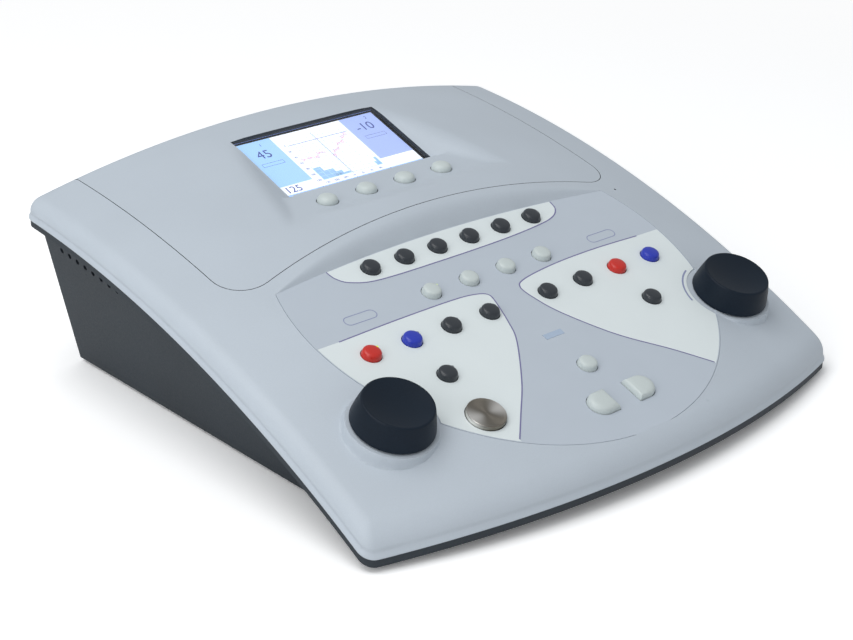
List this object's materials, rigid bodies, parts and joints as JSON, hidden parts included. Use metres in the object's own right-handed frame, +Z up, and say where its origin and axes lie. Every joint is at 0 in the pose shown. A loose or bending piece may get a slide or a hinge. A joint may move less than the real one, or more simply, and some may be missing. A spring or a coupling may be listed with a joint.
{
  "type": "bench audiometer",
  "caption": "Wedge-shaped desk audiometer with a crowned cover, a tilted key panel, a sunken display, two large level knobs and rear sockets.",
  "frame": {"origin": "middle of the footprint, on the surface that the feet stand on", "axes": "+X to the user's right, +Y to the back of the device, +Z up"},
  "size_m": [0.368, 0.3517, 0.1331],
  "materials": {
    "case_dark": "fine textured",
    "cover_light": "fine textured",
    "overlay_print": "printed film",
    "key_black": "satin",
    "key_grey": "satin",
    "key_red": "satin",
    "key_blue": "satin",
    "knob_black": "fine textured",
    "display_dark": "plain",
    "window_blue": "plain",
    "light_yellow": "plain",
    "sheet_steel": "plain",
    "spun_steel": "spun",
    "plate_metal": "brushed",
    "encoder_metal": "plain",
    "board_green": "solder resist",
    "silicone_grey": "matt",
    "foot_rubber": "matt",
    "connector_black": "moulded",
    "clear_window": "clear"
  },
  "bodies": {
    "console": {"lower_case": "case_dark", "top_cover": "cover_light", "display_cover": "cover_light", "display_window": "clear_window", "display_module": "display_dark", "display_bracket": "sheet_steel", "soft_key_board": "board_green", "panel_overlay": "overlay_print", "key_mat": "silicone_grey", "key_board": "board_green", "status_lights": "light_yellow", "response_window": "window_blue", "left_encoder": "encoder_metal", "right_encoder": "encoder_metal", "main_board": "board_green", "power_module": "board_green", "loudspeaker": "display_dark", "talkback_microphone": "encoder_metal", "jack_plate": "plate_metal", "power_plate": "plate_metal", "jack_sockets": "connector_black", "usb_socket": "sheet_steel", "power_inlet": "connector_black", "feet": "foot_rubber", "case_screws": "sheet_steel", "board_screws": "sheet_steel", "plate_screws": "sheet_steel"},
    "function_key_1_body": {"function_key_1": "key_black"},
    "function_key_2_body": {"function_key_2": "key_black"},
    "function_key_3_body": {"function_key_3": "key_black"},
    "function_key_4_body": {"function_key_4": "key_black"},
    "function_key_5_body": {"function_key_5": "key_black"},
    "function_key_6_body": {"function_key_6": "key_black"},
    "mode_key_1_body": {"mode_key_1": "key_grey"},
    "mode_key_2_body": {"mode_key_2": "key_grey"},
    "mode_key_3_body": {"mode_key_3": "key_grey"},
    "mode_key_4_body": {"mode_key_4": "key_grey"},
    "soft_key_1_body": {"soft_key_1": "key_grey"},
    "soft_key_2_body": {"soft_key_2": "key_grey"},
    "soft_key_3_body": {"soft_key_3": "key_grey"},
    "soft_key_4_body": {"soft_key_4": "key_grey"},
    "left_input_key_body": {"left_input_key": "key_black"},
    "left_output_key_body": {"left_output_key": "key_black"},
    "left_blue_key_body": {"left_blue_key": "key_blue"},
    "left_red_key_body": {"left_red_key": "key_red"},
    "left_hold_key_body": {"left_hold_key": "key_black"},
    "right_input_key_body": {"right_input_key": "key_black"},
    "right_output_key_body": {"right_output_key": "key_black"},
    "right_red_key_body": {"right_red_key": "key_red"},
    "right_blue_key_body": {"right_blue_key": "key_blue"},
    "right_hold_key_body": {"right_hold_key": "key_black"},
    "interrupter_key_body": {"interrupter_key": "spun_steel"},
    "store_key_body": {"store_key": "key_grey"},
    "frequency_down_key_body": {"frequency_down_key": "key_grey"},
    "frequency_up_key_body": {"frequency_up_key": "key_grey"},
    "left_dial": {"left_knob": "knob_black", "left_shaft": "sheet_steel"},
    "right_dial": {"right_knob": "knob_black", "right_shaft": "sheet_steel"},
    "rocker": {"power_rocker": "connector_black"}
  },
  "joints": [
    {"name": "function_key_1_press", "type": "slide", "parent": "console", "child": "function_key_1_body", "axis": [0, 0.342, -0.9397], "range_m": [0, 0.0015], "stiffness_N_per_m": 900, "springref_m": -0.0006},
    {"name": "function_key_2_press", "type": "slide", "parent": "console", "child": "function_key_2_body", "axis": [0, 0.342, -0.9397], "range_m": [0, 0.0015], "stiffness_N_per_m": 900, "springref_m": -0.0006},
    {"name": "function_key_3_press", "type": "slide", "parent": "console", "child": "function_key_3_body", "axis": [0, 0.342, -0.9397], "range_m": [0, 0.0015], "stiffness_N_per_m": 900, "springref_m": -0.0006},
    {"name": "function_key_4_press", "type": "slide", "parent": "console", "child": "function_key_4_body", "axis": [0, 0.342, -0.9397], "range_m": [0, 0.0015], "stiffness_N_per_m": 900, "springref_m": -0.0006},
    {"name": "function_key_5_press", "type": "slide", "parent": "console", "child": "function_key_5_body", "axis": [0, 0.342, -0.9397], "range_m": [0, 0.0015], "stiffness_N_per_m": 900, "springref_m": -0.0006},
    {"name": "function_key_6_press", "type": "slide", "parent": "console", "child": "function_key_6_body", "axis": [0, 0.342, -0.9397], "range_m": [0, 0.0015], "stiffness_N_per_m": 900, "springref_m": -0.0006},
    {"name": "mode_key_1_press", "type": "slide", "parent": "console", "child": "mode_key_1_body", "axis": [0, 0.342, -0.9397], "range_m": [0, 0.0015], "stiffness_N_per_m": 900, "springref_m": -0.0006},
    {"name": "mode_key_2_press", "type": "slide", "parent": "console", "child": "mode_key_2_body", "axis": [0, 0.342, -0.9397], "range_m": [0, 0.0015], "stiffness_N_per_m": 900, "springref_m": -0.0006},
    {"name": "mode_key_3_press", "type": "slide", "parent": "console", "child": "mode_key_3_body", "axis": [0, 0.342, -0.9397], "range_m": [0, 0.0015], "stiffness_N_per_m": 900, "springref_m": -0.0006},
    {"name": "mode_key_4_press", "type": "slide", "parent": "console", "child": "mode_key_4_body", "axis": [0, 0.342, -0.9397], "range_m": [0, 0.0015], "stiffness_N_per_m": 900, "springref_m": -0.0006},
    {"name": "soft_key_1_press", "type": "slide", "parent": "console", "child": "soft_key_1_body", "axis": [0, 0.0872, -0.9962], "range_m": [0, 0.0015], "stiffness_N_per_m": 900, "springref_m": -0.0006},
    {"name": "soft_key_2_press", "type": "slide", "parent": "console", "child": "soft_key_2_body", "axis": [0, 0.0872, -0.9962], "range_m": [0, 0.0015], "stiffness_N_per_m": 900, "springref_m": -0.0006},
    {"name": "soft_key_3_press", "type": "slide", "parent": "console", "child": "soft_key_3_body", "axis": [0, 0.0872, -0.9962], "range_m": [0, 0.0015], "stiffness_N_per_m": 900, "springref_m": -0.0006},
    {"name": "soft_key_4_press", "type": "slide", "parent": "console", "child": "soft_key_4_body", "axis": [0, 0.0872, -0.9962], "range_m": [0, 0.0015], "stiffness_N_per_m": 900, "springref_m": -0.0006},
    {"name": "left_input_key_press", "type": "slide", "parent": "console", "child": "left_input_key_body", "axis": [0, 0.342, -0.9397], "range_m": [0, 0.0015], "stiffness_N_per_m": 900, "springref_m": -0.0006},
    {"name": "left_output_key_press", "type": "slide", "parent": "console", "child": "left_output_key_body", "axis": [0, 0.342, -0.9397], "range_m": [0, 0.0015], "stiffness_N_per_m": 900, "springref_m": -0.0006},
    {"name": "left_blue_key_press", "type": "slide", "parent": "console", "child": "left_blue_key_body", "axis": [0, 0.342, -0.9397], "range_m": [0, 0.0015], "stiffness_N_per_m": 900, "springref_m": -0.0006},
    {"name": "left_red_key_press", "type": "slide", "parent": "console", "child": "left_red_key_body", "axis": [0, 0.342, -0.9397], "range_m": [0, 0.0015], "stiffness_N_per_m": 900, "springref_m": -0.0006},
    {"name": "left_hold_key_press", "type": "slide", "parent": "console", "child": "left_hold_key_body", "axis": [0, 0.342, -0.9397], "range_m": [0, 0.0015], "stiffness_N_per_m": 900, "springref_m": -0.0006},
    {"name": "right_input_key_press", "type": "slide", "parent": "console", "child": "right_input_key_body", "axis": [0, 0.342, -0.9397], "range_m": [0, 0.0015], "stiffness_N_per_m": 900, "springref_m": -0.0006},
    {"name": "right_output_key_press", "type": "slide", "parent": "console", "child": "right_output_key_body", "axis": [0, 0.342, -0.9397], "range_m": [0, 0.0015], "stiffness_N_per_m": 900, "springref_m": -0.0006},
    {"name": "right_red_key_press", "type": "slide", "parent": "console", "child": "right_red_key_body", "axis": [0, 0.342, -0.9397], "range_m": [0, 0.0015], "stiffness_N_per_m": 900, "springref_m": -0.0006},
    {"name": "right_blue_key_press", "type": "slide", "parent": "console", "child": "right_blue_key_body", "axis": [0, 0.342, -0.9397], "range_m": [0, 0.0015], "stiffness_N_per_m": 900, "springref_m": -0.0006},
    {"name": "right_hold_key_press", "type": "slide", "parent": "console", "child": "right_hold_key_body", "axis": [0, 0.342, -0.9397], "range_m": [0, 0.0015], "stiffness_N_per_m": 900, "springref_m": -0.0006},
    {"name": "interrupter_key_press", "type": "slide", "parent": "console", "child": "interrupter_key_body", "axis": [0, 0.342, -0.9397], "range_m": [0, 0.0015], "stiffness_N_per_m": 900, "springref_m": -0.0006},
    {"name": "store_key_press", "type": "slide", "parent": "console", "child": "store_key_body", "axis": [0, 0.342, -0.9397], "range_m": [0, 0.0015], "stiffness_N_per_m": 900, "springref_m": -0.0006},
    {"name": "frequency_down_key_press", "type": "slide", "parent": "console", "child": "frequency_down_key_body", "axis": [0, 0.342, -0.9397], "range_m": [0, 0.0015], "stiffness_N_per_m": 900, "springref_m": -0.0006},
    {"name": "frequency_up_key_press", "type": "slide", "parent": "console", "child": "frequency_up_key_body", "axis": [0, 0.342, -0.9397], "range_m": [0, 0.0015], "stiffness_N_per_m": 900, "springref_m": -0.0006},
    {"name": "left_knob_turn", "type": "hinge", "parent": "console", "child": "left_dial", "pos_m": [-0.133, -0.10347, 0.05333], "axis": [0, -0.342, 0.9397], "continuous": true},
    {"name": "right_knob_turn", "type": "hinge", "parent": "console", "child": "right_dial", "pos_m": [0.133, -0.10347, 0.05333], "axis": [0, -0.342, 0.9397], "continuous": true},
    {"name": "power_rocker_tilt", "type": "hinge", "parent": "console", "child": "rocker", "pos_m": [0.06, 0.1685, 0.0365], "axis": [1, 0, 0], "range_deg": [-16, 0]}
  ]
}
